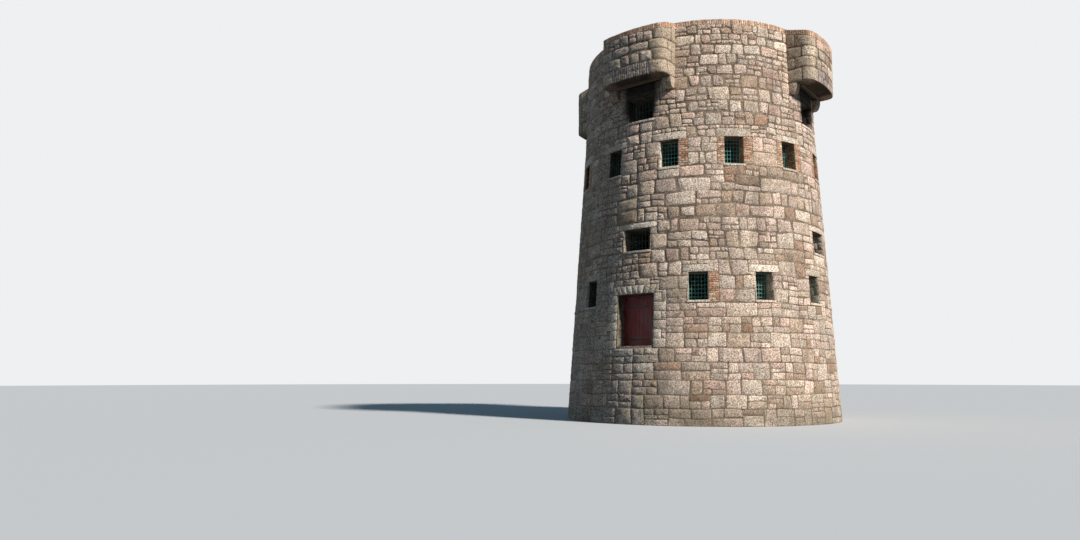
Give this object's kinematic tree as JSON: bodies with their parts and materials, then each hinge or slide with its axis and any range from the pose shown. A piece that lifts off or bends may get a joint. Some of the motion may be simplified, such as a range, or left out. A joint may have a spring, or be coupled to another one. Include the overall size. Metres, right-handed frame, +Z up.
{
  "type": "martello tower",
  "caption": "Round battered masonry tower with a raised doorway, rows of loophole windows and corbelled machicolations at its parapet.",
  "frame": {"origin": "centre of the base, on the ground", "axes": "+Z up the tower's axis, -Y towards the doorway, +X to the right of it"},
  "size_m": [10.36, 10.36, 14.06],
  "materials": {
    "granite": "rubble masonry, rough, with wide mortar joints and lichen",
    "dressed_granite": "dressed granite, punched faces",
    "brick": "weathered orange-red brick set on edge",
    "timber": "old sawn oak",
    "red_paint": "dark red painted boards",
    "green_paint": "weathered blue-green painted mesh and bars"
  },
  "bodies": {
    "root": {"base_drum": "granite", "first_storey_wall_front": "granite", "first_storey_wall_front_right": "granite", "first_storey_wall_right": "granite", "first_storey_wall_back_right": "granite", "first_storey_wall_back": "granite", "first_storey_wall_back_left": "granite", "first_storey_wall_left": "granite", "first_storey_wall_front_left": "granite", "second_storey_wall_front": "granite", "second_storey_wall_front_right": "granite", "second_storey_wall_right": "granite", "second_storey_wall_back_right": "granite", "second_storey_wall_back": "granite", "second_storey_wall_back_left": "granite", "second_storey_wall_left": "granite", "second_storey_wall_front_left": "granite", "first_floor": "dressed_granite", "second_floor_joists": "timber", "second_floor_boards": "timber", "roof_platform": "dressed_granite", "roof_hatch_cover": "timber", "parapet_wall_front_right": "granite", "parapet_wall_back_right": "granite", "parapet_wall_back_left": "granite", "parapet_wall_front_left": "granite", "parapet_coping_front_right": "brick", "parapet_coping_back_right": "brick", "parapet_coping_back_left": "brick", "parapet_coping_front_left": "brick", "machicolation_front": "granite", "machicolation_right": "granite", "machicolation_back": "granite", "machicolation_left": "granite", "machicolation_corbels_front": "dressed_granite", "machicolation_corbels_right": "dressed_granite", "machicolation_corbels_back": "dressed_granite", "machicolation_corbels_left": "dressed_granite", "machicolation_coping_front": "brick", "machicolation_coping_right": "brick", "machicolation_coping_back": "brick", "machicolation_coping_left": "brick", "door_threshold": "dressed_granite", "door_frame": "red_paint", "door_leaf": "red_paint"}
  },
  "joints": []
}
